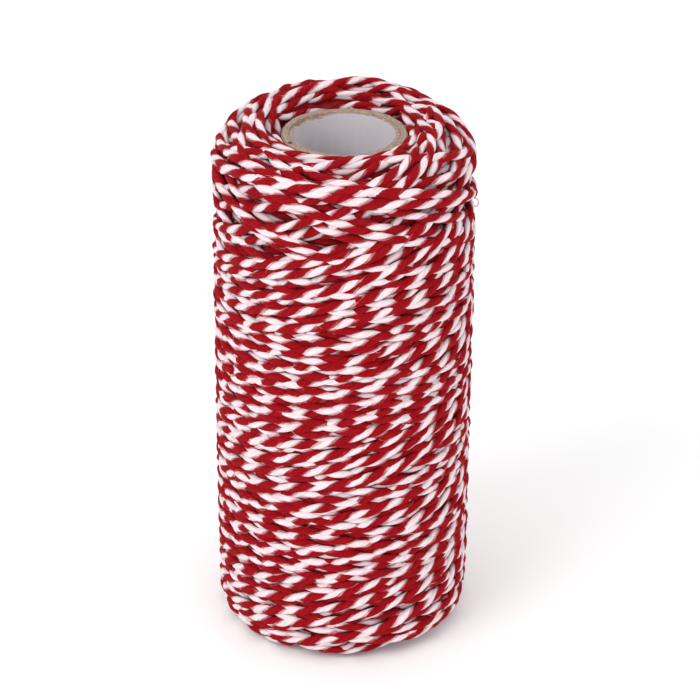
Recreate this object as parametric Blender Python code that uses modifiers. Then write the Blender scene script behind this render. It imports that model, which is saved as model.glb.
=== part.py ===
"""A spool of bakers twine: red and white cotton twine cross-wound on a cardboard tube.

The spool stands upright on its wound base. The origin is on the tube's axis, at the base,
with +Z up along the tube and -Y towards the front. Sizes are in metres.
"""

import math

import bpy

# The wound body.
WINDING_RADIUS = 0.026
WINDING_HEIGHT = 0.1115
TOP_SHOULDER_REACH = 0.009  # how far in from the barrel the crest lies
TOP_SHOULDER_DROP = 0.0095  # how far below the crest the barrel starts
BASE_SHOULDER_REACH = 0.0045
BASE_SHOULDER_RISE = 0.0067
BASE_LIP_REACH = 0.0016  # rounding where the base turns up into the tube's end
BASE_LIP_RISE = 0.0018

# The cardboard tube and the paper ply inside it.
TUBE_OUTER_RADIUS = 0.0124
TUBE_WALL = 0.0015
TUBE_TOP = 0.1075
TUBE_BOTTOM = 0.0012
TUBE_EDGE_ROUNDING = 0.0003
LINER_WALL = 0.0006
LINER_TOP_DROP = 0.0008  # the liner ends this far below the tube's rim
LINER_BASE_RISE = 0.0006
GAP = 0.0003  # between two pieces that touch

# The wound relief: rising and falling strokes stand up as two crossing sets of shallow ridges.
STROKE_PITCH = 0.0356  # axial travel of the twine in one turn of the spool
RIDGES_PER_PITCH = 2
RIDGE_DEPTH = 0.0006
CREST_TILT = 0.0018  # the crest is this much lower at the front
CREST_WAVE = 0.0004
CREST_WAVE_COUNT = 3

# Mesh resolution.
TURN_STEPS = 72
TUBE_STEPS = 48
BARREL_ROWS = 38
SHOULDER_ROWS = 7
CREST_ROWS = 3
LIP_ROWS = 2

TWINE_COLOUR = (0.72, 0.30, 0.32, 1.0)
CARDBOARD_COLOUR = (0.38, 0.32, 0.26, 1.0)
LINER_COLOUR = (0.55, 0.53, 0.58, 1.0)


def clear_scene():
    for thing in list(bpy.data.objects):
        bpy.data.objects.remove(thing, do_unlink=True)


def make_collection(name):
    collection = bpy.data.collections.new(name)
    bpy.context.scene.collection.children.link(collection)
    return collection


def make_material(name, colour, roughness):
    material = bpy.data.materials.new(name)
    material.use_nodes = True
    shader = material.node_tree.nodes["Principled BSDF"]
    shader.inputs["Base Color"].default_value = colour
    shader.inputs["Roughness"].default_value = roughness
    shader.inputs["Metallic"].default_value = 0.0
    return material


def quarter_arc(centre, reach, rise, start_deg, end_deg, steps):
    """Points of a quarter ellipse about centre, from one angle to the other, both ends included."""
    points = []
    for i in range(steps + 1):
        angle = math.radians(start_deg + (end_deg - start_deg) * i / steps)
        points.append((centre[0] + reach * math.cos(angle), centre[1] + rise * math.sin(angle)))
    return points


def turned_solid(name, outline, steps, material, collection):
    """A ring turned about Z from a closed outline of (radius, height) points.

    The outline runs down its outer side and back up its inner one, so that the faces point out.
    """
    count = len(outline)
    mesh = bpy.data.meshes.new(name)
    points = [(radius, 0.0, height) for radius, height in outline]
    edges = [(i, (i + 1) % count) for i in range(count)]
    mesh.from_pydata(points, edges, [])
    thing = bpy.data.objects.new(name, mesh)
    collection.objects.link(thing)
    screw = thing.modifiers.new("turn", "SCREW")
    screw.axis = "Z"
    screw.angle = 2 * math.pi
    screw.steps = steps
    screw.render_steps = steps
    screw.use_merge_vertices = True
    screw.merge_threshold = 0.00001
    thing.data.materials.append(material)
    return thing


def apply_modifiers(thing):
    """Replaces the object's mesh with the one that its modifiers make."""
    graph = bpy.context.evaluated_depsgraph_get()
    made = bpy.data.meshes.new_from_object(thing.evaluated_get(graph))
    thing.modifiers.clear()
    thing.data = made


def shade_round(thing, sharp_deg):
    thing.data.shade_smooth()
    thing.data.set_sharp_from_angle(angle=math.radians(sharp_deg))


def winding_outline():
    """The wound body's half section: crest, top shoulder, barrel, base shoulder, base, bore."""
    crest_radius = WINDING_RADIUS - TOP_SHOULDER_REACH
    barrel_top = WINDING_HEIGHT - TOP_SHOULDER_DROP
    bore_radius = TUBE_OUTER_RADIUS + GAP
    outline = quarter_arc(
        (crest_radius, barrel_top), TOP_SHOULDER_REACH, TOP_SHOULDER_DROP, 90, 0, SHOULDER_ROWS
    )
    for i in range(1, BARREL_ROWS):
        height = barrel_top + (BASE_SHOULDER_RISE - barrel_top) * i / BARREL_ROWS
        outline.append((WINDING_RADIUS, height))
    outline += quarter_arc(
        (WINDING_RADIUS - BASE_SHOULDER_REACH, BASE_SHOULDER_RISE),
        BASE_SHOULDER_REACH,
        BASE_SHOULDER_RISE,
        0,
        -90,
        SHOULDER_ROWS,
    )
    outline += quarter_arc(
        (bore_radius + BASE_LIP_REACH, BASE_LIP_RISE), BASE_LIP_REACH, BASE_LIP_RISE, -90, -180, LIP_ROWS
    )
    crest_rise = WINDING_HEIGHT - TUBE_TOP
    for i in range(CREST_ROWS):
        share = i / CREST_ROWS
        radius = bore_radius + (crest_radius - bore_radius) * share
        outline.append((radius, TUBE_TOP + crest_rise * math.sin(share * math.pi / 2)))
    return outline


def barrel_share(height):
    """1 along the barrel, easing to 0 at the base and at the crest."""
    from_base = min(max(height / BASE_SHOULDER_RISE, 0.0), 1.0)
    from_crest = min(max((WINDING_HEIGHT - height) / TOP_SHOULDER_DROP, 0.0), 1.0)
    return math.sin(from_base * math.pi / 2) * math.sin(from_crest * math.pi / 2)


def stroke_hollow(turn, height):
    """How far the barrel sinks between the ridges of the rising strokes and those of the falling ones."""
    rising = 2 * math.pi * RIDGES_PER_PITCH * (height / STROKE_PITCH - turn)
    falling = 2 * math.pi * RIDGES_PER_PITCH * (height / STROKE_PITCH + turn)
    ridge = max(math.cos(rising), math.cos(falling))
    return RIDGE_DEPTH * (0.5 - 0.5 * ridge)


def crest_drop(turn):
    """How much lower than its highest point the crest is there: it tilts forward and waves a little."""
    tilt = CREST_TILT * (0.5 - 0.5 * math.sin(2 * math.pi * turn))
    wave = CREST_WAVE * (0.5 + 0.5 * math.sin(2 * math.pi * CREST_WAVE_COUNT * turn))
    return tilt + wave


def crest_share(radius, height):
    """1 at the crest, falling to 0 at the top of the barrel and at the tube's rim."""
    crest_radius = WINDING_RADIUS - TOP_SHOULDER_REACH
    foot = WINDING_HEIGHT - TOP_SHOULDER_DROP if radius >= crest_radius else TUBE_TOP
    return min(max((height - foot) / (WINDING_HEIGHT - foot), 0.0), 1.0)


def add_wound_relief(mesh):
    """Presses the hollows between the strokes into the outer side, and makes the crest uneven."""
    outer_side = TUBE_OUTER_RADIUS + GAP + BASE_LIP_REACH
    for vertex in mesh.vertices:
        x, y, z = vertex.co
        radius = math.hypot(x, y)
        turn = math.atan2(y, x) / (2 * math.pi)
        vertex.co.z = z - crest_drop(turn) * crest_share(radius, z)
        if radius > outer_side:
            sunk = radius - stroke_hollow(turn, z) * barrel_share(z)
            vertex.co.x = x * sunk / radius
            vertex.co.y = y * sunk / radius


def make_winding(collection):
    material = make_material("twine", TWINE_COLOUR, 0.9)
    winding = turned_solid("twine_winding", winding_outline(), TURN_STEPS, material, collection)
    apply_modifiers(winding)
    add_wound_relief(winding.data)
    shade_round(winding, 60)
    return winding


def make_tube(collection):
    """The cardboard tube, with its four edges slightly rounded."""
    material = make_material("cardboard", CARDBOARD_COLOUR, 0.85)
    outer = TUBE_OUTER_RADIUS
    inner = TUBE_OUTER_RADIUS - TUBE_WALL
    outline = [(outer, TUBE_TOP), (outer, TUBE_BOTTOM), (inner, TUBE_BOTTOM), (inner, TUBE_TOP)]
    tube = turned_solid("core_tube", outline, TUBE_STEPS, material, collection)
    rounding = tube.modifiers.new("edge_rounding", "BEVEL")
    rounding.width = TUBE_EDGE_ROUNDING
    rounding.segments = 1
    rounding.limit_method = "ANGLE"
    rounding.angle_limit = math.radians(60)
    apply_modifiers(tube)
    shade_round(tube, 35)
    return tube


def make_liner(collection):
    """The white paper ply that lines the tube."""
    material = make_material("paper_liner", LINER_COLOUR, 0.7)
    outer = TUBE_OUTER_RADIUS - TUBE_WALL - GAP
    inner = outer - LINER_WALL
    top = TUBE_TOP - LINER_TOP_DROP
    bottom = TUBE_BOTTOM + LINER_BASE_RISE
    outline = [(outer, top), (outer, bottom), (inner, bottom), (inner, top)]
    liner = turned_solid("tube_liner", outline, TUBE_STEPS, material, collection)
    apply_modifiers(liner)
    shade_round(liner, 35)
    return liner


def main():
    clear_scene()
    spool = make_collection("spool_of_bakers_twine")
    make_winding(spool)
    make_tube(spool)
    make_liner(spool)


main()
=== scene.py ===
"""The looks of a spool of bakers twine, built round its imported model.

Two-ply twine is laid on the tube stroke by stroke, as a winding machine lays it: it climbs and falls along
the spool, turns round at each end, and rides over what was laid before. The stretches that still show are
swept into meshes. Older turns lie in the hollows between them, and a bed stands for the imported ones.
Lengths inside this script are in millimetres unless a name says otherwise, and MM turns them into metres.
Angles round the spool start at the front, where the camera is, and grow towards +X.
"""
import math

import bpy
import numpy as np
from mathutils import Matrix, Vector


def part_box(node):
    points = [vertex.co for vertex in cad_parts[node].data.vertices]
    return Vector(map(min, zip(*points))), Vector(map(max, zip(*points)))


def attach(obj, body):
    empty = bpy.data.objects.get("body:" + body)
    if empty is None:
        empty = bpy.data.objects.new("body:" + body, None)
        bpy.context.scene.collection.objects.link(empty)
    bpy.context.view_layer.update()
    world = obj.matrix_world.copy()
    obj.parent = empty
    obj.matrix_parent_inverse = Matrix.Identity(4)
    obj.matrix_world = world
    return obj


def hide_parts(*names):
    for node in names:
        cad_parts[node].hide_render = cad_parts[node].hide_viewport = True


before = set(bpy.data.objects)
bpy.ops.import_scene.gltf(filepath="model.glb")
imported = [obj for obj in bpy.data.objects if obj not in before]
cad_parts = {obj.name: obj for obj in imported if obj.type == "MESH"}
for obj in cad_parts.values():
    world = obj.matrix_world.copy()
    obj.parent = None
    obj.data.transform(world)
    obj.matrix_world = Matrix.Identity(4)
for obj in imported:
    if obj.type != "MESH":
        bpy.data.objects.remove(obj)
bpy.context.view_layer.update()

MM = 0.001
TURN = 2 * math.pi
SEED = 7

# ---- sizes that the frame gives
WINDING_LOW, WINDING_HIGH = (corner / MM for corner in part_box("twine_winding"))
TUBE_LOW, TUBE_HIGH = (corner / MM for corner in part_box("core_tube"))
LINER_LOW, LINER_HIGH = (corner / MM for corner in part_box("tube_liner"))
BARREL_RADIUS = (WINDING_HIGH.x - WINDING_LOW.x) / 2
WINDING_TOP = WINDING_HIGH.z
TUBE_RADIUS = (TUBE_HIGH.x - TUBE_LOW.x) / 2
TUBE_TOP = TUBE_HIGH.z
TUBE_BOTTOM = TUBE_LOW.z
LINER_RADIUS = (LINER_HIGH.x - LINER_LOW.x) / 2
LINER_BOTTOM = LINER_LOW.z
BORE = TUBE_RADIUS + 0.3  # where the winding starts, a little off the tube

# ---- the winding's form
TOP_SHOULDER_REACH = 9.0  # in from the barrel to the crest
TOP_SHOULDER_DROP = 9.5  # from the crest down to the barrel's top
BASE_SHOULDER_REACH = 4.5
BASE_SHOULDER_RISE = 6.7
BASE_LIP = 1.8  # how far the base turns up beside the tube
BASE_LIP_START = 0.8  # of the way in along the base
CREST_TILT = 1.8  # the crest is this much lower at the front than at the back
CREST_WAVE = 0.4
CREST_WAVES = 3
CREST_FADE = 5.0  # from the tube, over which the crest's unevenness sets in
FORM_POINTS = (24, 60, 60, 40, 20)  # on the crest, top shoulder, barrel, base shoulder and base
MERIDIAN_STEP = 0.25

# ---- the twine
RED_PLY_RADIUS = 0.77
WHITE_PLY_RADIUS = 0.67
PLY_OFFSET = 0.23  # from the twine's middle to each ply's
TWINE_RADIUS = 1.0
FLATTENING = 0.10  # how much wider than high the twine lies
LAY_LENGTH = 7.7  # along the twine, for one turn of its plies
SIDES_PER_PLY = 7
SECTION_STEP = 0.72
SHORTEST_RUN = 4  # sections: what shows less than this is left out
CREASE_DEG = 62  # plies that meet at more than this are shaded apart

# ---- how it is wound
STROKE_PITCH = 35.6  # climb in one turn of the spool
STROKE_SPACING = 3.4  # between neighbouring strands of one direction, along the spool
STROKE_TURNS = 6 + STROKE_SPACING / STROKE_PITCH  # turns in one double stroke, up and down
HALF_STROKE = STROKE_TURNS / 2
STROKES = 36
EARLY_STROKES = 36  # older ones, of which only the turnarounds can show
EARLY_REACH = 0.45  # turns on each side of a turnaround
LAST_PEAK_DEG = -50.0
TOP_PEAK_PAST_BARREL = 7.6
PEAK_ROUNDING = 0.05  # turns
STEADY_TURNS = 0.06  # from a stretch's end, over which it comes back to its line
SLIP_REACH = 0.42  # turns on each side of a turnaround over which it slips towards the tube
HUG_PULL = 7.0  # how much further it would slip if nothing stopped it
HUG_ROOM = 4  # a row nearer than this to where the strand would turn anyway doesn't pull
HUG_SOFTNESS = 0.5
STRAIGHT_FROM = 30.0  # in units of that softness: the bend is over by then
CLOSEST = 1.25  # of a strand's middle to the tube, along the surface
ROW_SPACING = 2.0
ROW_SPREAD = 0.35
EARLY_ROWS = (0, 2, 0, 1, 0, 3, 1)  # that the turnarounds lie in, taken in turn: 0 is beside the tube
LATE_ROWS = (0, 3, 1, 4, 2, 5, 1)
LAST_TOP_ROWS = (5.0, 8.0, 11.5)  # how near to the tube the last turnarounds come
LATE_BASE_SPREAD = 2.5
LAY_STEP = 0.3
CONTACT = 0.25  # of the twine's radius: how far its middle stays above what it lies on
PRESSED_TOP = 0.32  # of its radius: how far its top stands above its middle for what is laid next
JOIN_LENGTH = 4.0  # over which a stretch leaves the height that the one before it ended at
TAUTNESS = 1.6  # 1 would pull a strand straight between what it lies on, given enough rounds
PULL_ROUNDS = 260
STIFFNESS_ROUNDS = 12
START_DEPTH = 9.0  # the ground that the first stroke is laid on, below the finished surface
STAND_PROUD = 0.1  # of the topmost strands above the solid's surface
HIGHEST = -0.75  # of a strand's middle above the solid's surface, before it is pressed flatter
PRESSED_SHARE = 0.35  # of what stands higher that is left
ENVELOPE_REACH = 6  # grid cells that broad lumps are found over
ENVELOPE_BLUR = 8
PRESS_BLUR = 8  # samples
SHOWING = 0.3  # how far below the ground a strand's top still counts as showing
SHOWING_MARGIN = 2.4  # of twine kept past where it stops showing
GRID_TURN = 432  # grid cells round the spool
GRID_STEP = 0.35
TOUCHING = (-0.8, -0.45, 0.0, 0.45, 0.8)  # across the twine, where it may touch what it lies on
COVERING = np.linspace(-0.92, 0.92, 13)
LOOKED_AT = np.linspace(-0.95, 0.95, 9)

# The twine's last arch lies over all the rest: angle in degrees and distance along the meridian.
LAST_ARCH = (
    (-160, 24.5), (-125, 22.0), (-90, 19.3), (-60, 16.8), (-30, 15.0), (0, 14.7), (20, 15.7), (40, 18.8),
    (60, 22.6), (90, 27.6), (130, 32.5), (180, 36.5), (215, 38.8),
)
TUCK_DEPTH = 3.0  # of its two ends
TUCK_DEG = 8

# Older turns that fill the hollows.
UNDERLAY_DEPTH = 2.7
UNDERLAY_STARTS = 17
UNDERLAY_END = 5.0  # how far they keep from the ends of the meridian

# Smooth random lines: their size, and the samples between their changes.
WANDER = (0.30, 45)  # of a strand to either side
DRIFT = (0.35, 260)
LAST_WANDER = (0.15, 45)
UNDERLAY_WANDER = (0.2, 60)
UNDERLAY_WAVE = (0.2, 40)
SWELL = (0.08, 9)  # of the whole twine, and of each ply
RED_SWELL = (0.10, 12)
WHITE_SWELL = (0.14, 12)
TWIST_WANDER = (0.8, 26)  # in radians

# ---- meshes
TRIANGLES_A_PIECE = 90000  # of the twine, at the most
CAP_CELLS = 2  # of the map that materials are kept in, for each end's cap
CAP_RADIUS = 0.45  # of a cell
CELL_MARGIN = 0.06
TWINE_CELL_RATIO = 9.5  # a cell's height over its width
FUZZ_CELL_RATIO = 0.6

RED, WHITE = 0, 1  # material numbers of the loose fibres
FUZZ_COUNT = 2400
FUZZ_STEPS = 4
FUZZ_SIDES = 3
FUZZ_LEAN = 1.2  # radians to either side of straight out
FUZZ_REACH = (0.5, 1.7)
FUZZ_ROOT = 0.75  # how far from the twine's middle a fibre starts
FUZZ_ALONG = 0.9
FUZZ_OUT = 0.75
FUZZ_DROOP = 0.35
FUZZ_CURL = 0.35
FUZZ_RADIUS = 0.034
FUZZ_TAPER = 0.75
FUZZ_LOWEST = 0.05
LOOP_DEG = 88.0
LOOP_HEIGHT = 93.0
LOOP_REACH = 0.9
LOOP_DEPTH = 0.6  # out from the spool, against along it
LOOP_OPENING = 0.68  # half turns to each side of straight out
LOOP_THICKNESS = 0.16
LOOP_STEPS = 15
LOOP_STEP = 0.25  # along it
LOOP_SIDES = 6

BED_DEPTH = 3.0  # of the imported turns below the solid's surface, at the most
BED_CELLS = 3  # grid cells in a step of the bed's mesh
BED_ERODED = 3  # grid cells
BED_BLUR = 1
BED_SINK = 0.1
BED_LOWEST = 0.3
BORE_STEPS = 12

RING_ANGLES = np.arange(288) / 288 * TURN  # where the points of a ring lie
TURNED_CREASE_DEG = 50
TUBE_WALL = 1.5
TUBE_SIDE_RINGS = 8
FOOT_MARGIN = 0.3
RIM_MARGIN = 1.2
RIM_SINK = 0.1
RIM_RINGS = (  # in from the tube's outer side, and down from its rim
    (0.0, 0.30), (0.08, 0.12), (0.22, 0.02), (0.4, 0.0), (0.6, 0.0), (0.8, 0.0), (1.0, 0.0), (1.2, 0.0),
    (1.36, 0.02), (1.46, 0.10), (TUBE_WALL, 0.26),
)
NICK_DEG = -67.0
NICK_RADIUS = 11.35
NICK_SIZE = 0.36
NICK_DEPTH = 1.8
LINER_WALL = 0.6
LINER_GAP = 0.05
LINER_DROP = 0.30  # of its edge below the tube's rim
LINER_LEAST_DROP = 0.2
LINER_ROUNDING = 0.12  # in from each side of its edge
LINER_RIDGE = 0.4  # in from its outer side, where the edge stands highest
LINER_LIFTS = (0.05, 0.07, 0.04)  # of its edge, from its outer side to its inner one
LINER_OUTER_RINGS = 10
LINER_INNER_RINGS = 26
LINER_RING_SPREAD = 1.8  # more than 1 sets them closer near the edge
TORN_FROM_DEG = -172.0
TORN_TO_DEG = -100.0
TORN_DEPTH = 0.55
TORN_ROUNDNESS = 0.6
JAGGED_FROM = 0.1  # where the tear is deeper than this, its edge is jagged

# Random lines round the tube: their size, and the most waves in a turn.
OUTER_DENTS = (0.04, 9)
INNER_DENTS = (0.04, 11)
RIM_SWAY = (0.10, 4)
RIM_GRAIN = (0.05, 60)
RIM_CHIPS = (0.04, 30)
FOOT_GRAIN = (0.03, 40)
TORN_WAVES = (0.12, 22)
TORN_GRAIN = (0.10, 60)
LINER_GRAIN = (0.02, 50)
LINER_RIPPLE = (0.03, 4)

# ---- colours and surfaces
RED_COTTON = ((0.18, 0.001, 0.0035), (0.335, 0.004, 0.0095))  # in the dark and in the light streaks
WHITE_COTTON = ((0.69, 0.54, 0.57), (0.865, 0.742, 0.772))
COTTON_FINISH = {"Roughness": 0.9, "Specular IOR Level": 0.06, "Sheen Weight": 0.02, "Sheen Roughness": 0.5}
COTTON_BUMPS = {"Strength": 0.7, "Distance": 0.0003}
STREAK_STOPS = (0.32, 0.62)  # where streaks are all dark, and all light
PLY_STRETCH = (0.45, 0.95, 1.0)  # how fine streaks are along the twine and across it
FUZZ_STRETCH = (1.4, 2.6, 1.0)
STREAKS = {"Scale": 1.0, "Detail": 6.0, "Roughness": 0.65}
FEATHERING = 2.4  # sides that one ply's fibres stray over the other's
FEATHER_WIDTH = 2.2
WHITE_SPREAD = -0.27  # sides that white reaches onto the red ply: less than 0 keeps it back
DEEP = -3.0  # where the twine is in full shade, relative to the solid's surface
# Painted shade, tinged red: the twine's colour is multiplied by this, darker the deeper it lies below the
# solid's surface.
PAINTED_DEPTH_SHADE = ((0.0, (0.42, 0.36, 0.36)), (0.55, (0.80, 0.74, 0.75)), (0.82, (1.0, 1.0, 1.0)))
PACKED_COLOUR = (0.30, 0.006, 0.012)
# Painted shade: the packed turns are coloured darker than the twine on top, with no bright white.
PACKED_PAINTED_SHADES = ((0.35, (0.15, 0.003, 0.006)), (0.55, (0.26, 0.005, 0.010)), (0.68, (0.33, 0.05, 0.07)))
PACKED_STRETCH = (0.42, 0.11, 1.0)
PACKED_STREAKS = {"Scale": 1.0, "Detail": 1.0, "Roughness": 0.4}
BOARD_COLOUR = (0.38, 0.31, 0.25)
BOARD_FINISH = {"Roughness": 0.95, "Specular IOR Level": 0.15}
BOARD_BUMPS = {"Strength": 0.7, "Distance": 0.0002}
BOARD_SHADES = ((0.30, (0.188, 0.131, 0.096)), (0.52, (0.368, 0.264, 0.206)), (0.72, (0.538, 0.418, 0.350)))
RIM_SHADES = ((0.34, (0.225, 0.158, 0.120)), (0.50, (0.405, 0.296, 0.232)), (0.66, (0.525, 0.410, 0.340)))
RIM_FACING = (0.4, 0.8)  # of the normal's upward part: from wall to rim
WORN = (0.35, 0.65)  # of the blotches: from plain board to its plies' rings
PAPER_COLOUR = (0.72, 0.68, 0.73)
PAPER_FINISH = {"Roughness": 0.8, "Specular IOR Level": 0.2}
PAPER_BUMPS = {"Strength": 0.35, "Distance": 0.0002}
PAPER_SHADES = ((0.30, (0.59, 0.558, 0.585)), (0.50, (0.61, 0.577, 0.606)), (0.72, (0.632, 0.598, 0.627)))
EDGE_FACING = (0.3, 0.7)
TORN_SHADES = ((0.30, (0.16, 0.12, 0.09)), (0.52, (0.34, 0.26, 0.21)), (0.72, (0.50, 0.41, 0.35)))
FLECKS = {"Scale": 1500.0, "Detail": 5.0, "Roughness": 0.7}
BLOTCHES = {"Scale": 260.0, "Detail": 3.0, "Roughness": 0.6}
PAPER_STREAKS = {"Scale": 420.0, "Detail": 4.0, "Roughness": 0.6}
PLY_LINES = {"Scale": 3600.0, "Detail": 1.0}
PAPER_STRETCH = (1.0, 1.0, 0.08)
NICK_SQUASH = Vector((1, 1, 0.15))  # heights count for little in the nick's shade
NICK_SHADE = (1.2, 2.0)  # of its size: where its shade starts to fade, and where it ends
NICK_DARKEST = 0.08

# ---- studio
LIGHT_TARGET_M = (0, 0, 0.06)
KEY_LIGHT = ((-0.55, -0.5, 0.7), 0.5, 3.4)  # place and size in metres, power in watts
FILL_LIGHT = ((0.4, -0.8, 0.20), 0.6, 1.35)
FLOOR_SIZE_M = 6.0
FLOOR_DROP_M = 0.0002
FLOOR_COLOUR = (0.97, 0.97, 0.97)
FLOOR_FINISH = {"Roughness": 0.8}
CAMERA_DISTANCE = 544.5
CAMERA_ELEVATION_DEG = 28.82
CAMERA_ROLL_DEG = 0.36
CAMERA_PIVOT_HEIGHT = 55.0
CAMERA_AIM = (1.33, 1.80, 58.28)
CAMERA_LENS = 137.0
CAMERA_SENSOR = 36.0


def new_object(name, data):
    thing = bpy.data.objects.new(name, data)
    bpy.context.scene.collection.objects.link(thing)
    return thing


def smooth_noise(count, line, random):
    """A smooth line of count samples. Its two numbers are its size and the samples between its changes."""
    size, spacing = line
    knots = random.normal(0.0, 0.5, int(count / spacing) + 4)
    at = np.arange(count) / spacing
    whole = at.astype(int)
    share = at - whole
    share = share * share * (3 - 2 * share)
    return size * (knots[whole] * (1 - share) + knots[whole + 1] * share)


# ---- the surface that the twine is laid on
def build_meridian():
    """The outer surface's half section from the tube's rim to its foot, as even steps.

    Returns distance along it, radius, height, and the way that the winding builds up in, which is 90
    degrees on the crest, 0 on the barrel and -90 on the base.
    """
    crest = BARREL_RADIUS - TOP_SHOULDER_REACH
    barrel_top = WINDING_TOP - TOP_SHOULDER_DROP
    foot = BARREL_RADIUS - BASE_SHOULDER_REACH
    parts = (
        lambda t: (
            BORE + (crest - BORE) * t,
            TUBE_TOP + (WINDING_TOP - TUBE_TOP) * math.sin(t * TURN / 4),
            90,
        ),
        lambda t: (
            crest + TOP_SHOULDER_REACH * math.sin(t * TURN / 4),
            barrel_top + TOP_SHOULDER_DROP * math.cos(t * TURN / 4),
            90 * (1 - t),
        ),
        lambda t: (BARREL_RADIUS, barrel_top + (BASE_SHOULDER_RISE - barrel_top) * t, 0),
        lambda t: (
            foot + BASE_SHOULDER_REACH * math.cos(t * TURN / 4),
            BASE_SHOULDER_RISE * (1 - math.sin(t * TURN / 4)),
            -90 * t,
        ),
        lambda t: (foot + (BORE - foot) * t, BASE_LIP * max(t - BASE_LIP_START, 0) * 5, -90),
    )
    rows = [part((i + 0.5) / count) for part, count in zip(parts, FORM_POINTS) for i in range(count)]
    table = np.array(rows)
    along = np.concatenate([[0], np.cumsum(np.hypot(np.diff(table[:, 0]), np.diff(table[:, 1])))])
    even = np.arange(0, along[-1], MERIDIAN_STEP)
    return [even] + [np.interp(even, along, table[:, i]) for i in range(3)]


ALONG, RADIUS_AT, HEIGHT_AT, LEAN_AT = build_meridian()
MERIDIAN_LENGTH = ALONG[-1]
BARREL_START = ALONG[np.argmax(LEAN_AT <= 0.5)]
TOP_MOST = BARREL_START - TOP_PEAK_PAST_BARREL  # where a stroke would turn if it didn't slip
BASE_MOST = MERIDIAN_LENGTH - TOP_MOST - STROKE_PITCH * HALF_STROKE
TURNS_A_STEP = LAY_STEP / math.hypot(TURN * BARREL_RADIUS, STROKE_PITCH)
GRID_ROWS = int(MERIDIAN_LENGTH / GRID_STEP) + 1
ground = np.full((GRID_TURN, GRID_ROWS), -START_DEPTH)  # how high the winding stands so far


def ring_points(angle, radius, height):
    """The points at an angle round the spool, a radius and a height."""
    return np.stack([radius * np.sin(angle), -radius * np.cos(angle), height + 0 * angle], -1)


def crest_drop(angle):
    """How much lower the crest is at each angle round the spool."""
    tilt = CREST_TILT * (0.5 + 0.5 * np.cos(angle))
    wave = CREST_WAVE * (0.5 + 0.5 * np.cos(CREST_WAVES * angle))
    return tilt + wave


def place(angle, along, rise):
    """Points in space for an angle, a distance along the meridian and a rise above the outer surface."""
    lean = np.radians(np.interp(along, ALONG, LEAN_AT))
    radius = np.interp(along, ALONG, RADIUS_AT) + rise * np.cos(lean)
    height = np.interp(along, ALONG, HEIGHT_AT) + rise * np.sin(lean)
    share = np.clip(np.sin(lean), 0, 1) * np.clip(along / CREST_FADE, 0, 1)
    return ring_points(angle, radius, height - crest_drop(angle) * share)


def outward(angle, along):
    """The direction that the winding builds up in."""
    lean = np.radians(np.interp(along, ALONG, LEAN_AT))
    return ring_points(angle, np.cos(lean), np.sin(lean))


# ---- laying the twine
def grid_cells(angle, along):
    column = np.floor(angle / TURN * GRID_TURN).astype(int) % GRID_TURN
    row = np.clip((along / GRID_STEP).astype(int), 0, GRID_ROWS - 1)
    return column, row


def across(angle, along, offset):
    """The points beside a path, offset to its left by that distance on the surface."""
    radius = np.interp(along, ALONG, RADIUS_AT)
    step_round = np.gradient(angle) * radius
    step_along = np.gradient(along)
    length = np.hypot(step_round, step_along)
    return angle - step_along / length * offset / radius, along + step_round / length * offset


def settle(needed):
    """The height that a taut, slightly stiff twine takes over what lies under it."""
    sag = LAY_STEP * LAY_STEP / (2 * BARREL_RADIUS) * TAUTNESS
    height = needed.copy()
    for _ in range(PULL_ROUNDS):
        height[1:-1] = np.maximum(needed[1:-1], 0.5 * (height[:-2] + height[2:]) - sag)
    for _ in range(STIFFNESS_ROUNDS):
        height[1:-1] = 0.25 * height[:-2] + 0.5 * height[1:-1] + 0.25 * height[2:]
    return height


def strips(angle, along, shares):
    """The grid cells under lines that run beside a path, and how high a round section reaches over each."""
    for share in shares:
        cells = grid_cells(*across(angle, along, share * TWINE_RADIUS))
        yield cells, TWINE_RADIUS * math.sqrt(1 - share * share)


def lay(angle, along, start_rise):
    """Lays one stretch of twine on the ground, and returns its height. The ground rises under it."""
    needed = np.full(len(angle), -np.inf)
    for cells, reach in strips(angle, along, TOUCHING):
        needed = np.maximum(needed, ground[cells] + CONTACT * reach)
    rise = settle(needed)
    if start_rise is not None:
        fade = np.exp(-np.arange(len(rise)) * LAY_STEP / JOIN_LENGTH)
        rise = rise + (start_rise - rise[0]) * fade
    for cells, reach in strips(angle, along, COVERING):
        np.maximum.at(ground, cells, rise + PRESSED_TOP * reach)
    return rise


def no_nearer(distance, nearest):
    """The distance, but never less than the nearest one, with a soft bend where it stops falling."""
    over = (distance - nearest) / HUG_SOFTNESS
    bend = np.log1p(np.exp(np.minimum(over, STRAIGHT_FROM)))
    return nearest + HUG_SOFTNESS * bend + HUG_SOFTNESS * np.maximum(over - STRAIGHT_FROM, 0)


def guide(turns, peak_turn, top_row, base_row):
    """Distance along the meridian at each turn of one double stroke about its top peak.

    At each end the strand slips in towards the tube, but comes no nearer to it than its row.
    """
    folded = np.abs(turns - peak_turn)
    line = np.sqrt(folded ** 2 + PEAK_ROUNDING ** 2)
    line = HALF_STROKE - np.sqrt(np.maximum(HALF_STROKE - line, 0) ** 2 + PEAK_ROUNDING ** 2)
    along = TOP_MOST + STROKE_PITCH * line
    top_slip = TOP_MOST - top_row + HUG_PULL * (top_row < TOP_MOST - HUG_ROOM)
    base_slip = BASE_MOST - base_row + HUG_PULL * (base_row < BASE_MOST - HUG_ROOM)
    along = along - top_slip * np.exp(-(folded / SLIP_REACH) ** 2)
    along = along + base_slip * np.exp(-((HALF_STROKE - folded) / SLIP_REACH) ** 2)
    along = no_nearer(along, top_row)
    return MERIDIAN_LENGTH - no_nearer(MERIDIAN_LENGTH - along, base_row)


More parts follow.
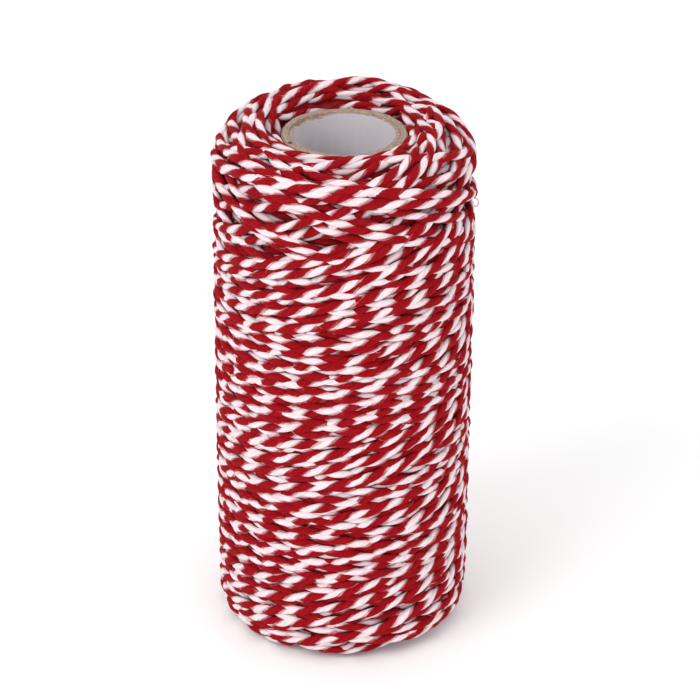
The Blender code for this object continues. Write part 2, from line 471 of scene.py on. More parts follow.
def lay_stretch(first, last, peak, rows, start_rise, random):
    """Lays the twine from one turn to another of a double stroke: its angle, distance and rise."""
    turns = np.arange(first, last, TURNS_A_STEP)
    stray = smooth_noise(len(turns), WANDER, random) + smooth_noise(len(turns), DRIFT, random)
    steady = np.clip(np.minimum(turns - first, last - turns) / STEADY_TURNS, 0, 1)
    along = guide(turns, peak, *rows) + stray * steady * steady * (3 - 2 * steady)
    along = np.clip(along, CLOSEST, MERIDIAN_LENGTH - CLOSEST)
    return turns * TURN, along, lay(turns * TURN, along, start_rise)


def smooth_through(knots, at):
    """A smooth line through the knots, read at each place (Catmull-Rom)."""
    places, values = np.array(knots, float).T
    slopes = np.gradient(values, places)
    i = np.clip(np.searchsorted(places, at) - 1, 0, len(places) - 2)
    width = places[i + 1] - places[i]
    t = (at - places[i]) / width
    rise = values[i + 1] - values[i]
    bend = t * (1 - t) * ((1 - t) * (slopes[i] * width - rise) - t * (slopes[i + 1] * width - rise))
    return values[i] + rise * t + bend


def last_arch(random):
    """The twine's last stretch, whose ends are tucked under other strands."""
    step_deg = math.degrees(LAY_STEP / BARREL_RADIUS)
    degrees = np.arange(LAST_ARCH[0][0], LAST_ARCH[-1][0], step_deg)
    along = smooth_through(LAST_ARCH, degrees) + smooth_noise(len(degrees), LAST_WANDER, random)
    angle = np.radians(degrees)
    rise = lay(angle, along, None)
    tuck = np.exp(-(degrees - degrees[0]) / TUCK_DEG) + np.exp(-(degrees[-1] - degrees) / TUCK_DEG)
    return angle, along, rise - TUCK_DEPTH * tuck


def hugging_rows(random, count, order):
    """How near to the bore's edge each turnaround comes: the rows round the tube, taken in turn."""
    return CLOSEST + ROW_SPACING * np.resize(order, count) + ROW_SPREAD * random.random(count)


def wind():
    """The stretches of twine, laid in order: the angle, distance along the meridian and rise of each."""
    random = np.random.default_rng(SEED)
    total = EARLY_STROKES + STROKES
    peaks = LAST_PEAK_DEG / 360 - STROKE_TURNS * np.arange(total - 1, -1, -1)
    top_rows = hugging_rows(random, total, EARLY_ROWS)
    top_rows[EARLY_STROKES:] = hugging_rows(random, STROKES, LATE_ROWS)
    base_rows = hugging_rows(random, total + 1, EARLY_ROWS)
    base_rows[EARLY_STROKES:] = BASE_MOST - LATE_BASE_SPREAD * random.random(STROKES + 1)
    top_rows[-len(LAST_TOP_ROWS):] = LAST_TOP_ROWS
    pieces = []
    for stroke in range(EARLY_STROKES):
        rows = (top_rows[stroke], base_rows[stroke])
        for middle in (peaks[stroke], peaks[stroke] - HALF_STROKE):
            ends = (middle - EARLY_REACH, middle + EARLY_REACH)
            pieces.append(lay_stretch(*ends, peaks[stroke], rows, None, random))
    pieces = press_in(pieces, -START_DEPTH)
    halves = []
    start_rise = None
    for stroke in range(EARLY_STROKES, total):
        peak = peaks[stroke]
        for first, base_row in ((peak - HALF_STROKE, base_rows[stroke]), (peak, base_rows[stroke + 1])):
            rows = (top_rows[stroke], base_row)
            piece = lay_stretch(first, first + HALF_STROKE, peak, rows, start_rise, random)
            start_rise = piece[2][-1]
            halves.append(piece)
    return pieces + [tuple(np.concatenate(column) for column in zip(*halves)), last_arch(random)]


def widened(field, before, after, axis):
    """A field with more cells at the two ends of one axis. Axis 0 goes round the spool, and wraps."""
    padding = [(0, 0), (0, 0)]
    padding[axis] = (before, after)
    return np.pad(field, padding, mode="edge" if axis else "wrap")


def spread(field, reach):
    """The greatest value within reach cells along each axis."""
    for axis, size in enumerate(field.shape):
        wide = widened(field, reach, reach, axis)
        shifted = [np.take(wide, range(shift, shift + size), axis=axis) for shift in range(2 * reach + 1)]
        field = np.max(shifted, axis=0)
    return field


def blur(field, reach):
    """A running mean over reach cells to each side, taken twice along each axis."""
    width = 2 * reach + 1
    for axis, size in enumerate(field.shape):
        for _ in range(2):
            total = np.cumsum(widened(field, reach + 1, reach, axis), axis=axis)
            high = np.take(total, range(width, width + size), axis=axis)
            low = np.take(total, range(size), axis=axis)
            field = (high - low) / width
    return field


def press_in(pieces, level):
    """Packs what is laid: takes its broad lumps out, so that its topmost strands lie at that level."""
    top = blur(spread(ground, ENVELOPE_REACH), ENVELOPE_BLUR)
    ground[:] = ground - top + level
    width = 2 * PRESS_BLUR + 1
    kernel = np.ones(width) / width
    pressed = []
    for angle, along, rise in pieces:
        lump = np.pad(top[grid_cells(angle, along)], PRESS_BLUR, mode="edge")
        pressed.append((angle, along, rise - np.convolve(lump, kernel, "valid") + level))
    return pressed


def exposed(angle, along, rise):
    """Which samples still show once everything is laid."""
    shows = np.zeros(len(angle), bool)
    for cells, reach in strips(angle, along, LOOKED_AT):
        shows |= rise + PRESSED_TOP * reach > ground[cells] - SHOWING
    margin = int(SHOWING_MARGIN / LAY_STEP)
    return np.convolve(shows, np.ones(2 * margin + 1), "same") > 0


def underlay(random):
    """Older turns, which show only in the hollows: angle, distance and rise."""
    turns = np.arange(0, (MERIDIAN_LENGTH - 2 * UNDERLAY_END) / STROKE_PITCH, TURNS_A_STEP)
    pieces = []
    for start in range(UNDERLAY_STARTS):
        along = UNDERLAY_END + STROKE_PITCH * turns + smooth_noise(len(turns), UNDERLAY_WANDER, random)
        rise = -UNDERLAY_DEPTH + smooth_noise(len(turns), UNDERLAY_WAVE, random)
        pieces.append(((turns + start / UNDERLAY_STARTS) * TURN, along, rise))
    return pieces


# ---- the twine's mesh
def even_samples(angle, along, rise, shows):
    """The path at even steps of real length, with how far along the twine each sample lies."""
    points = place(angle, along, rise)
    length = np.concatenate([[0], np.cumsum(np.linalg.norm(np.diff(points, axis=0), axis=1))])
    even = np.arange(0, length[-1], SECTION_STEP)
    columns = [np.interp(even, length, values) for values in (angle, along, rise)]
    seen = np.interp(even, length, shows.astype(float)) > 0.5
    return [even] + columns + [seen]


def ply_section():
    """The section's outline: two overlapping round plies, the red one's points first."""
    waist = (WHITE_PLY_RADIUS ** 2 - RED_PLY_RADIUS ** 2) / (4 * PLY_OFFSET)
    half_waist = math.sqrt(RED_PLY_RADIUS ** 2 - (waist - PLY_OFFSET) ** 2)
    sides = []
    for radius, direction in ((RED_PLY_RADIUS, 1), (WHITE_PLY_RADIUS, -1)):
        reach = math.atan2(half_waist, direction * waist - PLY_OFFSET)
        turns = np.linspace(-reach, reach, SIDES_PER_PLY + 1)[:-1]
        side = np.stack([PLY_OFFSET + radius * np.cos(turns), radius * np.sin(turns)], axis=1)
        sides.append(side * direction)
    return np.concatenate(sides)


def runs_of(flags):
    """(first, past last) of each run of true flags."""
    edges = np.flatnonzero(np.diff(np.concatenate([[0], flags.astype(int), [0]])))
    return list(zip(edges[::2], edges[1::2]))


def twine_frames(points, normals):
    """Unit vectors along the twine, outward from the spool, and across."""
    tangent = np.gradient(points, axis=0)
    tangent /= np.linalg.norm(tangent, axis=1, keepdims=True)
    up = normals - tangent * np.sum(normals * tangent, axis=1, keepdims=True)
    up /= np.linalg.norm(up, axis=1, keepdims=True)
    return tangent, up, np.cross(tangent, up)


def twine_rings(along, middle, normals, twist, rise, random):
    """The points of a stretch of twine, a ring of them at each sample, and how high each one lies."""
    outline = ply_section()
    _, up, side = twine_frames(middle, normals)
    count = len(along)
    swell = 1 + smooth_noise(count, SWELL, random)
    red_swell = swell * (1 + smooth_noise(count, RED_SWELL, random))
    white_swell = swell * (1 + smooth_noise(count, WHITE_SWELL, random))
    is_red = np.arange(len(outline)) < SIDES_PER_PLY
    scale = np.where(is_red, red_swell[:, None], white_swell[:, None])
    cos, sin = np.cos(twist)[:, None], np.sin(twist)[:, None]
    x = (outline[:, 0] * cos - outline[:, 1] * sin) * scale * (1 - FLATTENING)
    y = (outline[:, 0] * sin + outline[:, 1] * cos) * scale * (1 + FLATTENING)
    rings = middle[:, None] + x[..., None] * up[:, None] + y[..., None] * side[:, None]
    rings[..., 2] = np.maximum(rings[..., 2], 0.0)
    return rings, rise[:, None] + x


def visible_strands(random):
    """Stretches of twine that show: distance along the twine, points, normals, twist and rise."""
    strands = []
    start = 0.0
    for angle, along, rise in press_in(wind(), STAND_PROUD) + underlay(random):
        shows = exposed(angle, along, rise)
        rise = rise - (1 - PRESSED_SHARE) * np.maximum(rise - HIGHEST, 0)
        length, angle, along, rise, seen = even_samples(angle, along, rise, shows)
        points = place(angle, along, rise)
        normals = outward(angle, along)
        twist = -TURN * (length + start) / LAY_LENGTH + smooth_noise(len(length), TWIST_WANDER, random)
        for first, last in runs_of(seen):
            if last - first > SHORTEST_RUN:
                run = slice(first, last)
                strands.append((length[run] + start, points[run], normals[run], twist[run], rise[run]))
        start += length[-1]
    return strands


def corner_places(*corners):
    """The four corners of many quads, as one list of places in a map."""
    return np.stack([np.stack(corner, -1) for corner in corners], axis=-2).reshape(-1, 4, 2)


def sweep(name, strands, count, cell_ratio, materials):
    """One mesh of closed tubes through rings of points.

    A strand is how far along it each ring lies, the rings, how high their points lie, and which material
    it has. Each stretch between two rings has a cell of its own in the map that materials are kept in,
    where cell_ratio is a cell's height over its width, and so has each end's cap.
    """
    cells = sum(len(strand[0]) - 1 + 2 * CAP_CELLS for strand in strands)
    columns = math.ceil(math.sqrt(cells * cell_ratio))
    map_rows = math.ceil(cells / columns)
    filled = (1 - 2 * CELL_MARGIN) / map_rows
    points, faces, slots, fibre, heights, cells_map = [], [], [], [], [], []
    base = 0
    cell = 0
    j = np.arange(count)
    k = (j + 1) % count
    turn = j / count * TURN
    cap_shape = np.stack([0.5 + CAP_RADIUS * np.cos(turn), 0.5 + CAP_RADIUS * np.sin(turn)], -1)
    for along, rings, height, slot in strands:
        rows = len(along)
        points.append(rings.reshape(-1, 3))
        i = np.arange(rows - 1)[:, None]
        near, far = i * count + base, (i + 1) * count + base
        faces.append(np.stack([near + j, near + k, far + k, far + j], -1).reshape(-1, 4))
        slots.append(np.full((rows - 1) * count, slot))
        u0, u1 = along[:-1, None] + 0.0 * j, along[1:, None] + 0.0 * j
        v0 = 0.0 * u0 + j
        fibre.append(corner_places((u0, v0), (u0, v0 + 1), (u1, v0 + 1), (u1, v0)))
        low, high = height[:-1], height[1:]
        corners = (low[:, j], low[:, k], high[:, k], high[:, j])
        heights.append(corner_places(*((corner, corner) for corner in corners)))
        here = cell + CAP_CELLS + i
        left = (here % columns) / columns + 0.0 * j
        bottom = (here // columns + CELL_MARGIN) / map_rows + filled * j / count
        right, top = left + 1 / columns, bottom + filled / count
        cells_map.append(corner_places((left, bottom), (left, top), (right, top), (right, bottom)))
        for ring, step, at in ((0, -1, cell), (rows - 1, 1, cell + CAP_CELLS + rows - 1)):
            corners = (j + ring * count + base)[::step]
            faces.append(corners.reshape(1, count))
            slots.append(np.full(1, slot))
            heights.append(np.full((1, count, 2), height[ring].min()))
            fibre.append(np.full((1, count, 2), along[ring]) + cap_shape)
            corner_map = np.array([at % columns, at // columns]) + cap_shape
            cells_map.append((corner_map / (columns, map_rows))[None])
        base += rows * count
        cell += rows - 1 + 2 * CAP_CELLS
    maps = {"fibre": fibre, "height": heights, "OFBake": cells_map}
    return build_mesh(name, np.concatenate(points), faces, slots, maps, CREASE_DEG, materials)


def build_mesh(name, points, face_groups, slot_groups, maps, crease_deg, materials):
    """A mesh object from groups of faces of one size each. maps gives the corners' places, by name."""
    mesh = bpy.data.meshes.new(name)
    loops = np.concatenate([group.reshape(-1) for group in face_groups])
    sizes = np.concatenate([np.full(len(group), group.shape[1]) for group in face_groups])
    starts = np.concatenate([[0], np.cumsum(sizes)[:-1]])
    mesh.vertices.add(len(points))
    mesh.vertices.foreach_set("co", (points * MM).astype(np.float32).ravel())
    mesh.loops.add(len(loops))
    mesh.loops.foreach_set("vertex_index", loops.astype(np.int32))
    mesh.polygons.add(len(sizes))
    mesh.polygons.foreach_set("loop_start", starts.astype(np.int32))
    mesh.polygons.foreach_set("material_index", np.concatenate(slot_groups).astype(np.int32))
    for map_name, groups in maps.items():
        corners = np.concatenate([group.reshape(-1, 2) for group in groups])
        mesh.uv_layers.new(name=map_name).uv.foreach_set("vector", corners.astype(np.float32).ravel())
    mesh.update(calc_edges=True)
    mesh.validate()
    mesh.shade_smooth()
    mesh.set_sharp_from_angle(angle=math.radians(crease_deg))
    for material in materials:
        mesh.materials.append(material)
    return new_object(name, mesh)


# ---- materials
def new_material(name, colour, finish):
    """A material and its node tree. The finish gives values for its shader's inputs."""
    material = bpy.data.materials.new(name)
    material.use_nodes = True
    inputs = material.node_tree.nodes["Principled BSDF"].inputs
    for input_name, value in {"Base Color": (*colour, 1.0), **finish}.items():
        inputs[input_name].default_value = value
    return material, material.node_tree


def feed(tree, target, value):
    """Links an input to a socket, or sets it to a plain value."""
    if isinstance(value, bpy.types.NodeSocket):
        tree.links.new(value, target)
    else:
        target.default_value = value


def node(tree, kind, **settings):
    """A shader node. A setting is one of its options, or what an input of that name is fed with."""
    made = tree.nodes.new("ShaderNode" + kind)
    for name, value in settings.items():
        if hasattr(made, name):
            setattr(made, name, value)
        else:
            feed(tree, made.inputs[name.replace("_", " ")], value)
    return made


def uv_place(tree, name):
    """Where a point of the surface lies in one of its maps."""
    return node(tree, "UVMap", uv_map=name).outputs["UV"]


def maths(tree, operation, *values, kind="Math", output="Value"):
    """One maths step on sockets or plain values."""
    step = node(tree, kind, operation=operation)
    for target, value in zip(step.inputs, values):
        feed(tree, target, value)
    return step.outputs[output]


def product(tree, one, other):
    """Two vectors or colours, multiplied part by part."""
    return maths(tree, "MULTIPLY", one, other, kind="VectorMath", output="Vector")


def part_of(tree, source, axis):
    """One component of a vector."""
    return node(tree, "SeparateXYZ", Vector=source).outputs[axis]


def noise(tree, source, settings, stretch=None):
    """Noise from 0 to 1 at each place, drawn out along the axes whose stretch is small."""
    if stretch:
        source = node(tree, "Mapping", Vector=source, Scale=stretch).outputs["Vector"]
    return node(tree, "TexNoise", Vector=source, **settings).outputs["Fac"]


def level_of(tree, value, low, high, **settings):
    """How far a value has come from low to high, from 0 to 1."""
    level = node(tree, "MapRange", Value=value, From_Min=low, From_Max=high, **settings)
    return level.outputs["Result"]


def colour_ramp(tree, source, stops):
    """A colour for each value, from (value, colour) stops."""
    ramp = node(tree, "ValToRGB", Fac=source)
    elements = ramp.color_ramp.elements
    while len(elements) < len(stops):
        elements.new(0.5)
    for element, (position, colour) in zip(elements, stops):
        element.position = position
        element.color = (*colour, 1.0)
    return ramp.outputs["Color"]


def mixed(tree, factor, one, other):
    """One colour turning into the other as the factor goes from 0 to 1."""
    mix = node(tree, "Mix", data_type="RGBA")
    sockets = {socket.identifier: socket for socket in (*mix.inputs, *mix.outputs)}
    for name, source in (("Factor_Float", factor), ("A_Color", one), ("B_Color", other)):
        feed(tree, sockets[name], source)
    return sockets["Result_Color"]


def dress(tree, colour, height, bumps):
    """Gives the shader its colour, and bumps from a height that goes from 0 to 1."""
    bump = node(tree, "Bump", Height=height, **bumps)
    inputs = tree.nodes["Principled BSDF"].inputs
    feed(tree, inputs["Base Color"], colour)
    feed(tree, inputs["Normal"], bump.outputs["Normal"])


def facing_up(tree, low, high):
    """0 on walls, 1 on what faces up."""
    normal = node(tree, "NewGeometry").outputs["Normal"]
    return level_of(tree, part_of(tree, normal, "Z"), low, high)


def streaked(tree, streaks, shades):
    """Streaks of a cotton's dark and light shades."""
    return colour_ramp(tree, streaks, list(zip(STREAK_STOPS, shades)))


def cotton(name, shades):
    """Cotton of one colour: fibre streaks in colour and in bump."""
    material, tree = new_material(name, shades[1], COTTON_FINISH)
    streaks = noise(tree, uv_place(tree, "fibre"), STREAKS, FUZZ_STRETCH)
    dress(tree, streaked(tree, streaks, shades), streaks, COTTON_BUMPS)
    return material


def two_ply_cotton():
    """The twine's own cotton: a red ply and a white one, whose fibres feather into each other, darkened by
    painted shade the deeper it lies.
    """
    material, tree = new_material("twine_cotton", RED_COTTON[1], COTTON_FINISH)
    fibre = uv_place(tree, "fibre")
    streaks = noise(tree, fibre, STREAKS, PLY_STRETCH)
    # Sides from the red ply's middle: 0 there, and SIDES_PER_PLY in the white one's.
    shifted = maths(tree, "ADD", part_of(tree, fibre, "Y"), 1.5 * SIDES_PER_PLY)
    from_red = maths(tree, "PINGPONG", shifted, SIDES_PER_PLY)
    ragged = maths(tree, "MULTIPLY_ADD", streaks, 2 * FEATHERING, from_red)
    edge = SIDES_PER_PLY / 2 - WHITE_SPREAD + FEATHERING
    ends = (edge - FEATHER_WIDTH / 2, edge + FEATHER_WIDTH / 2)
    whiteness = level_of(tree, ragged, *ends, interpolation_type="SMOOTHSTEP")
    red = streaked(tree, streaks, RED_COTTON)
    white = streaked(tree, streaks, WHITE_COTTON)
    # Painted shade: darker where the twine lies deeper below the solid's surface.
    level = level_of(tree, part_of(tree, uv_place(tree, "height"), "X"), DEEP, 0.0)
    shade = colour_ramp(tree, level, PAINTED_DEPTH_SHADE)
    colour = product(tree, mixed(tree, whiteness, red, white), shade)
    dress(tree, colour, streaks, COTTON_BUMPS)
    return material


def packed_cotton_painted_shade():
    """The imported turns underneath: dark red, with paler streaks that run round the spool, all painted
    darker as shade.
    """
    material, tree = new_material("packed_cotton_painted_shade", PACKED_COLOUR, COTTON_FINISH)
    streaks = noise(tree, uv_place(tree, "fibre"), PACKED_STREAKS, PACKED_STRETCH)
    dress(tree, colour_ramp(tree, streaks, PACKED_PAINTED_SHADES), streaks, COTTON_BUMPS)
    return material


def ply_lines(tree, coordinates):
    """Noise by the distance from the spool's axis, which draws the tube's plies as rings on its ends."""
    radius = maths(tree, "LENGTH", product(tree, coordinates, (1, 1, 0)), kind="VectorMath")
    lines = node(tree, "TexNoise", noise_dimensions="1D", W=radius, **PLY_LINES)
    return lines.outputs["Fac"]


def nick_shade(tree, coordinates):
    """Painted shade: darkest in the small nick in the rim, and 1 everywhere else."""
    middle = Vector(ring_points(math.radians(NICK_DEG), NICK_RADIUS, TUBE_TOP)) * MM
    squashed = product(tree, coordinates, NICK_SQUASH)
    away = maths(tree, "DISTANCE", squashed, middle * NICK_SQUASH, kind="VectorMath")
    ends = (share * NICK_SIZE * MM for share in NICK_SHADE)
    return level_of(tree, away, *ends, To_Min=NICK_DARKEST, interpolation_type="SMOOTHSTEP")


def cardboard():
    """Grey-brown board: flecked fibres, and its plies as fine rings on the rim."""
    material, tree = new_material("raw_cardboard", BOARD_COLOUR, BOARD_FINISH)
    coordinates = node(tree, "TexCoord").outputs["Object"]
    flecks = noise(tree, coordinates, FLECKS)
    board = colour_ramp(tree, flecks, BOARD_SHADES)
    rim = colour_ramp(tree, ply_lines(tree, coordinates), RIM_SHADES)
    worn = level_of(tree, noise(tree, coordinates, BLOTCHES), *WORN)
    bare = mixed(tree, facing_up(tree, *RIM_FACING), board, mixed(tree, worn, board, rim))
    # Painted shade in the small nick, multiplied into the board's colour.
    colour = product(tree, bare, nick_shade(tree, coordinates))
    dress(tree, colour, flecks, BOARD_BUMPS)
    return material


def liner_paper():
    """White paper gone greyish, with faint streaks down the tube, and brown along its edge."""
    material, tree = new_material("liner_paper", PAPER_COLOUR, PAPER_FINISH)
    coordinates = node(tree, "TexCoord").outputs["Object"]
    streaks = noise(tree, coordinates, PAPER_STREAKS, PAPER_STRETCH)
    flecks = noise(tree, coordinates, FLECKS)
    paper = colour_ramp(tree, streaks, PAPER_SHADES)
    edge = colour_ramp(tree, flecks, TORN_SHADES)
    colour = mixed(tree, facing_up(tree, *EDGE_FACING), paper, edge)
    dress(tree, colour, flecks, PAPER_BUMPS)
    return material


# ---- pieces
def stand_for(thing, node_name):
    """Puts a piece on the root body, and hides the imported part that it takes the place of."""
    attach(thing, "root")
    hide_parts(node_name)


def make_twine(strands, random):
    """The strands that show, shared out over pieces of a limited size."""
    cotton_of_plies = [two_ply_cotton()]
    groups, size = [[]], 0
    for strand in strands:
        triangles = 4 * SIDES_PER_PLY * len(strand[0])
        if size + triangles > TRIANGLES_A_PIECE:
            groups.append([])
            size = 0
        groups[-1].append((strand[0], *twine_rings(*strand, random), 0))
        size += triangles
    for index, group in enumerate(groups, 1):
        name = f"twine_turns_{index}"
        piece = sweep(name, group, 2 * SIDES_PER_PLY, TWINE_CELL_RATIO, cotton_of_plies)
        stand_for(piece, "twine_winding")


def loose_fibre(points, normals, twist, random):
    """One short fibre that stands off a strand at some place along it."""
    at = random.integers(1, len(points) - 1)
    tangent, up, side = (directions[at] for directions in twine_frames(points, normals))
    lean = random.uniform(-FUZZ_LEAN, FUZZ_LEAN)
    out = up * math.cos(lean) + side * math.sin(lean)
    slot = RED if math.cos(lean - twist[at]) > 0 else WHITE
    onward = tangent * random.choice([-1, 1])
    reach = random.uniform(*FUZZ_REACH)
    share = np.linspace(0, 1, FUZZ_STEPS)[:, None]
    curl = side * random.normal(0, FUZZ_CURL) * share ** 2
    rise = out * (FUZZ_OUT * share - FUZZ_DROOP * share ** 2)
    route = points[at] + out * FUZZ_ROOT + reach * (onward * share * FUZZ_ALONG + rise + curl)
    route[:, 2] = np.maximum(route[:, 2], FUZZ_LOWEST)
    turn = np.arange(FUZZ_SIDES) / FUZZ_SIDES * TURN
    circle = np.cos(turn)[:, None] * out + np.sin(turn)[:, None] * np.cross(onward, out)
    radius = FUZZ_RADIUS * (1 - FUZZ_TAPER * share)
    rings = route[:, None] + radius[:, :, None] * circle
    return share[:, 0] * reach, rings, np.zeros(rings.shape[:2]), slot


def loose_loop():
    """A small loop of white fibre that stands out at the right, near the top."""
    angle = math.radians(LOOP_DEG)
    out, up = ring_points(angle, 1.0, 0.0), np.array([0, 0, 1.0])
    turn = np.linspace(-LOOP_OPENING, LOOP_OPENING, LOOP_STEPS)[:, None] * math.pi
    bend = LOOP_DEPTH * np.cos(turn) * out + np.sin(turn) * up
    route = ring_points(angle, BARREL_RADIUS, LOOP_HEIGHT) + LOOP_REACH * bend
    around = np.arange(LOOP_SIDES)[None, :, None] / LOOP_SIDES * TURN
    off_middle = np.cos(turn) * out + np.sin(turn) * up
    circle = np.cos(around) * off_middle[:, None] + np.sin(around) * np.cross(out, up)
    rings = route[:, None] + LOOP_THICKNESS * circle
    return np.arange(LOOP_STEPS) * LOOP_STEP, rings, np.zeros(rings.shape[:2]), WHITE


def make_fuzz(strands, random):
    """Short loose fibres that stand off the twine, and one loop."""
    cottons = [cotton("red_cotton", RED_COTTON), cotton("white_cotton", WHITE_COTTON)]
    weights = np.array([len(strand[0]) for strand in strands], float)
    chosen = random.choice(len(strands), FUZZ_COUNT, p=weights / weights.sum())
    hairs = [loose_fibre(*strands[index][1:4], random) for index in chosen]
    loops = [loose_loop()]
    for name, fibres, sides in (("twine_fuzz", hairs, FUZZ_SIDES), ("loose_loop", loops, LOOP_SIDES)):
        piece = sweep(name, fibres, sides, FUZZ_CELL_RATIO, cottons)
        stand_for(piece, "twine_winding")


def make_turned(name, rings, material):
    """A closed body through rings of points, the last one back to the first."""
    rows, columns = rings.shape[:2]
    i, j = np.meshgrid(np.arange(rows), np.arange(columns), indexing="ij")
    next_i, next_j = (i + 1) % rows, (j + 1) % columns
    corners = [i * columns + j, next_i * columns + j, next_i * columns + next_j, i * columns + next_j]
    quads = np.stack(corners, -1).reshape(-1, 4)
    places = np.stack([i, j], -1).reshape(-1, 1, 2) + np.array([[0, 0], [1, 0], [1, 1], [0, 1]])
    points, slots, maps = rings.reshape(-1, 3), [np.zeros(len(quads), int)], {"fibre": [places]}
    return build_mesh(name, points, [quads], slots, maps, TURNED_CREASE_DEG, [material])


def make_bed():
    """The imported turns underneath: a dark red floor between the strands on top."""
    floor = blur(-spread(-ground, BED_ERODED), BED_BLUR) - BED_SINK
    level = np.maximum(floor, -BED_DEPTH)[::BED_CELLS, ::BED_CELLS]
    angle, along = np.meshgrid(
        (np.arange(0, GRID_TURN, BED_CELLS) + 0.5) / GRID_TURN * TURN,
        (np.arange(0, GRID_ROWS, BED_CELLS) + 0.5) * GRID_STEP,
    )
    outer = place(angle, along, level.T)
    outer[..., 2] = np.maximum(outer[..., 2], BED_LOWEST)
    low, high = outer[-1, :, 2], outer[0, :, 2]
    shares = np.linspace(0, 1, BORE_STEPS)
    inner = [ring_points(angle[0], BORE, low + (high - low) * share) for share in shares]
    bed = make_turned("twine_inner_turns", np.concatenate([outer, np.array(inner)]), packed_cotton_painted_shade())
    stand_for(bed, "twine_winding")


def ring_noise(line, random):
    """A closed line round the tube. Its two numbers are its size and the most waves in a turn."""
    size, waves = line
    fewest = max(waves // 2, 1)
    total = np.zeros(len(RING_ANGLES))
    for wave in range(fewest, waves + 1):
        total += random.normal() * np.sin(wave * RING_ANGLES + random.uniform(0, TURN))
    return size * (total / math.sqrt(waves - fewest + 1))


def make_tube():
    """The cardboard tube: its sawn rim is rough, and has a small nick at the left."""
    random = np.random.default_rng(SEED + 5)
    outer_dent = ring_noise(OUTER_DENTS, random)
    inner_dent = ring_noise(INNER_DENTS, random)
    sway = ring_noise(RIM_SWAY, random)
    side = np.linspace(TUBE_BOTTOM + FOOT_MARGIN, TUBE_TOP - RIM_MARGIN, TUBE_SIDE_RINGS)
    rings = [ring_points(RING_ANGLES, TUBE_RADIUS, height) for height in side]
    for inset, drop in RIM_RINGS:
        radius = TUBE_RADIUS - inset
        share = inset / TUBE_WALL
        rough = ring_noise(RIM_GRAIN, random) + ring_noise(RIM_CHIPS, random)
        from_nick = radius * (RING_ANGLES - math.radians(NICK_DEG % 360))
        nick = NICK_DEPTH * np.exp(-(from_nick ** 2 + (radius - NICK_RADIUS) ** 2) / NICK_SIZE ** 2)
        dent = outer_dent * (1 - share) + inner_dent * share
        radius = radius + dent - np.maximum(dent, 0) * (1 - share)
        rings.append(ring_points(RING_ANGLES, radius, TUBE_TOP - drop + sway + rough - nick - RIM_SINK))
    rings += [ring_points(RING_ANGLES, TUBE_RADIUS - TUBE_WALL, height) for height in side[::-1]]
    for inset, drop in RIM_RINGS[::-1]:
        height = TUBE_BOTTOM + drop + ring_noise(FOOT_GRAIN, random)
        rings.append(ring_points(RING_ANGLES, TUBE_RADIUS - inset, height))
    tube = make_turned("cardboard_tube", np.array(rings), cardboard())
    stand_for(tube, "core_tube")


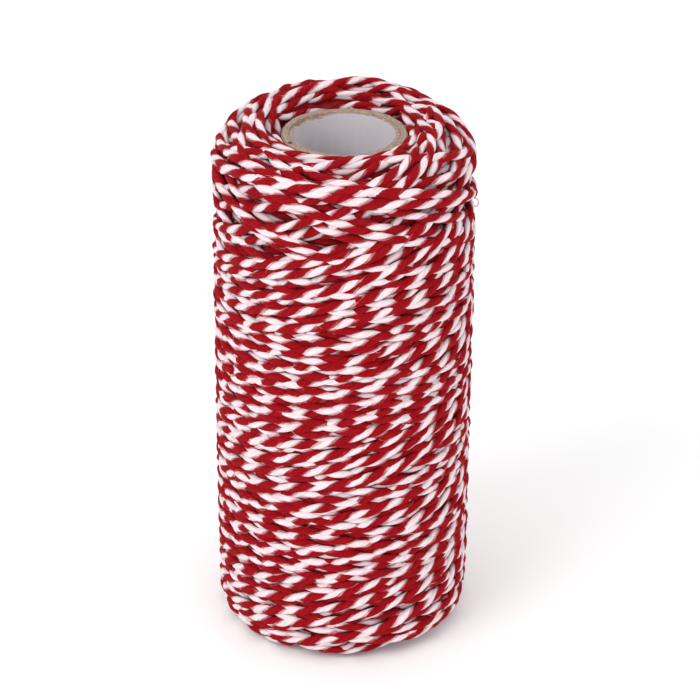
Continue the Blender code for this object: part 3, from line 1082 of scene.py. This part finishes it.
def make_liner():
    """The paper inside the tube, torn away unevenly along its top edge at the back left."""
    random = np.random.default_rng(SEED + 6)
    signed = np.degrees((RING_ANGLES + math.pi) % TURN - math.pi)
    share = np.clip((signed - TORN_FROM_DEG) / (TORN_TO_DEG - TORN_FROM_DEG), 0, 1)
    torn = TORN_DEPTH * np.sin(share * math.pi) ** TORN_ROUNDNESS
    jagged = ring_noise(TORN_WAVES, random) + ring_noise(TORN_GRAIN, random)
    torn = np.maximum(torn + jagged * (torn > JAGGED_FROM), 0)
    drop = LINER_DROP + ring_noise(LINER_GRAIN, random) + torn
    top = TUBE_TOP - np.maximum(drop, LINER_LEAST_DROP)
    ripple = ring_noise(LINER_RIPPLE, random)
    outer = TUBE_RADIUS - TUBE_WALL - LINER_GAP
    inner = LINER_RADIUS - LINER_WALL
    shape = [(outer, LINER_BOTTOM + (top - LINER_BOTTOM) * t) for t in np.linspace(0, 1, LINER_OUTER_RINGS)]
    edge = (outer - LINER_ROUNDING, outer - LINER_RIDGE, inner + LINER_ROUNDING)
    shape += [(radius + ripple, top + lift) for radius, lift in zip(edge, LINER_LIFTS)]
    for t in np.linspace(0, 1, LINER_INNER_RINGS) ** LINER_RING_SPREAD:
        shape.append((inner + ripple, top - (top - LINER_BOTTOM) * t))
    rings = np.array([ring_points(RING_ANGLES, radius, height) for radius, height in shape])
    liner = make_turned("paper_liner", rings, liner_paper())
    stand_for(liner, "tube_liner")


# ---- studio
def make_stage():
    bpy.ops.mesh.primitive_plane_add(size=FLOOR_SIZE_M, location=(0, 0, -FLOOR_DROP_M))
    floor = bpy.context.object
    floor.name = "floor"
    material, _ = new_material("pale_floor", FLOOR_COLOUR, FLOOR_FINISH)
    floor.data.materials.append(material)
    world = bpy.data.worlds.new("studio")
    bpy.context.scene.world = world
    world.use_nodes = True
    background = world.node_tree.nodes["Background"]
    background.inputs["Color"].default_value = (1, 1, 1, 1)
    background.inputs["Strength"].default_value = 1.0


def area_light(name, place_m, size_m, power_w):
    """A square light that shines at the spool."""
    light = bpy.data.lights.new(name, "AREA")
    light.shape = "SQUARE"
    light.size = size_m
    light.energy = power_w
    thing = new_object(name, light)
    thing.location = place_m
    aim = Vector(LIGHT_TARGET_M) - Vector(place_m)
    thing.rotation_euler = aim.to_track_quat("-Z", "Y").to_euler()


def make_camera():
    camera = bpy.data.cameras.new("camera")
    camera.lens = CAMERA_LENS
    camera.sensor_width = CAMERA_SENSOR
    thing = new_object("camera", camera)
    elevation = math.radians(CAMERA_ELEVATION_DEG)
    behind, above = CAMERA_DISTANCE * math.cos(elevation), CAMERA_DISTANCE * math.sin(elevation)
    place_mm = Vector((0, -behind, CAMERA_PIVOT_HEIGHT + above))
    aim = Vector(CAMERA_AIM) - place_mm
    turn = aim.to_track_quat("-Z", "Y").to_matrix().to_4x4()
    roll = Matrix.Rotation(math.radians(CAMERA_ROLL_DEG), 4, "Z")
    thing.matrix_world = Matrix.Translation(place_mm * MM) @ turn @ roll
    bpy.context.scene.camera = thing


def main():
    random = np.random.default_rng(SEED + 1)
    strands = visible_strands(random)
    make_twine(strands, random)
    make_fuzz(strands, random)
    make_bed()
    make_tube()
    make_liner()
    make_stage()
    area_light("key_light", *KEY_LIGHT)
    area_light("fill_light", *FILL_LIGHT)
    make_camera()
    bpy.context.scene.view_settings.view_transform = "Standard"


main()
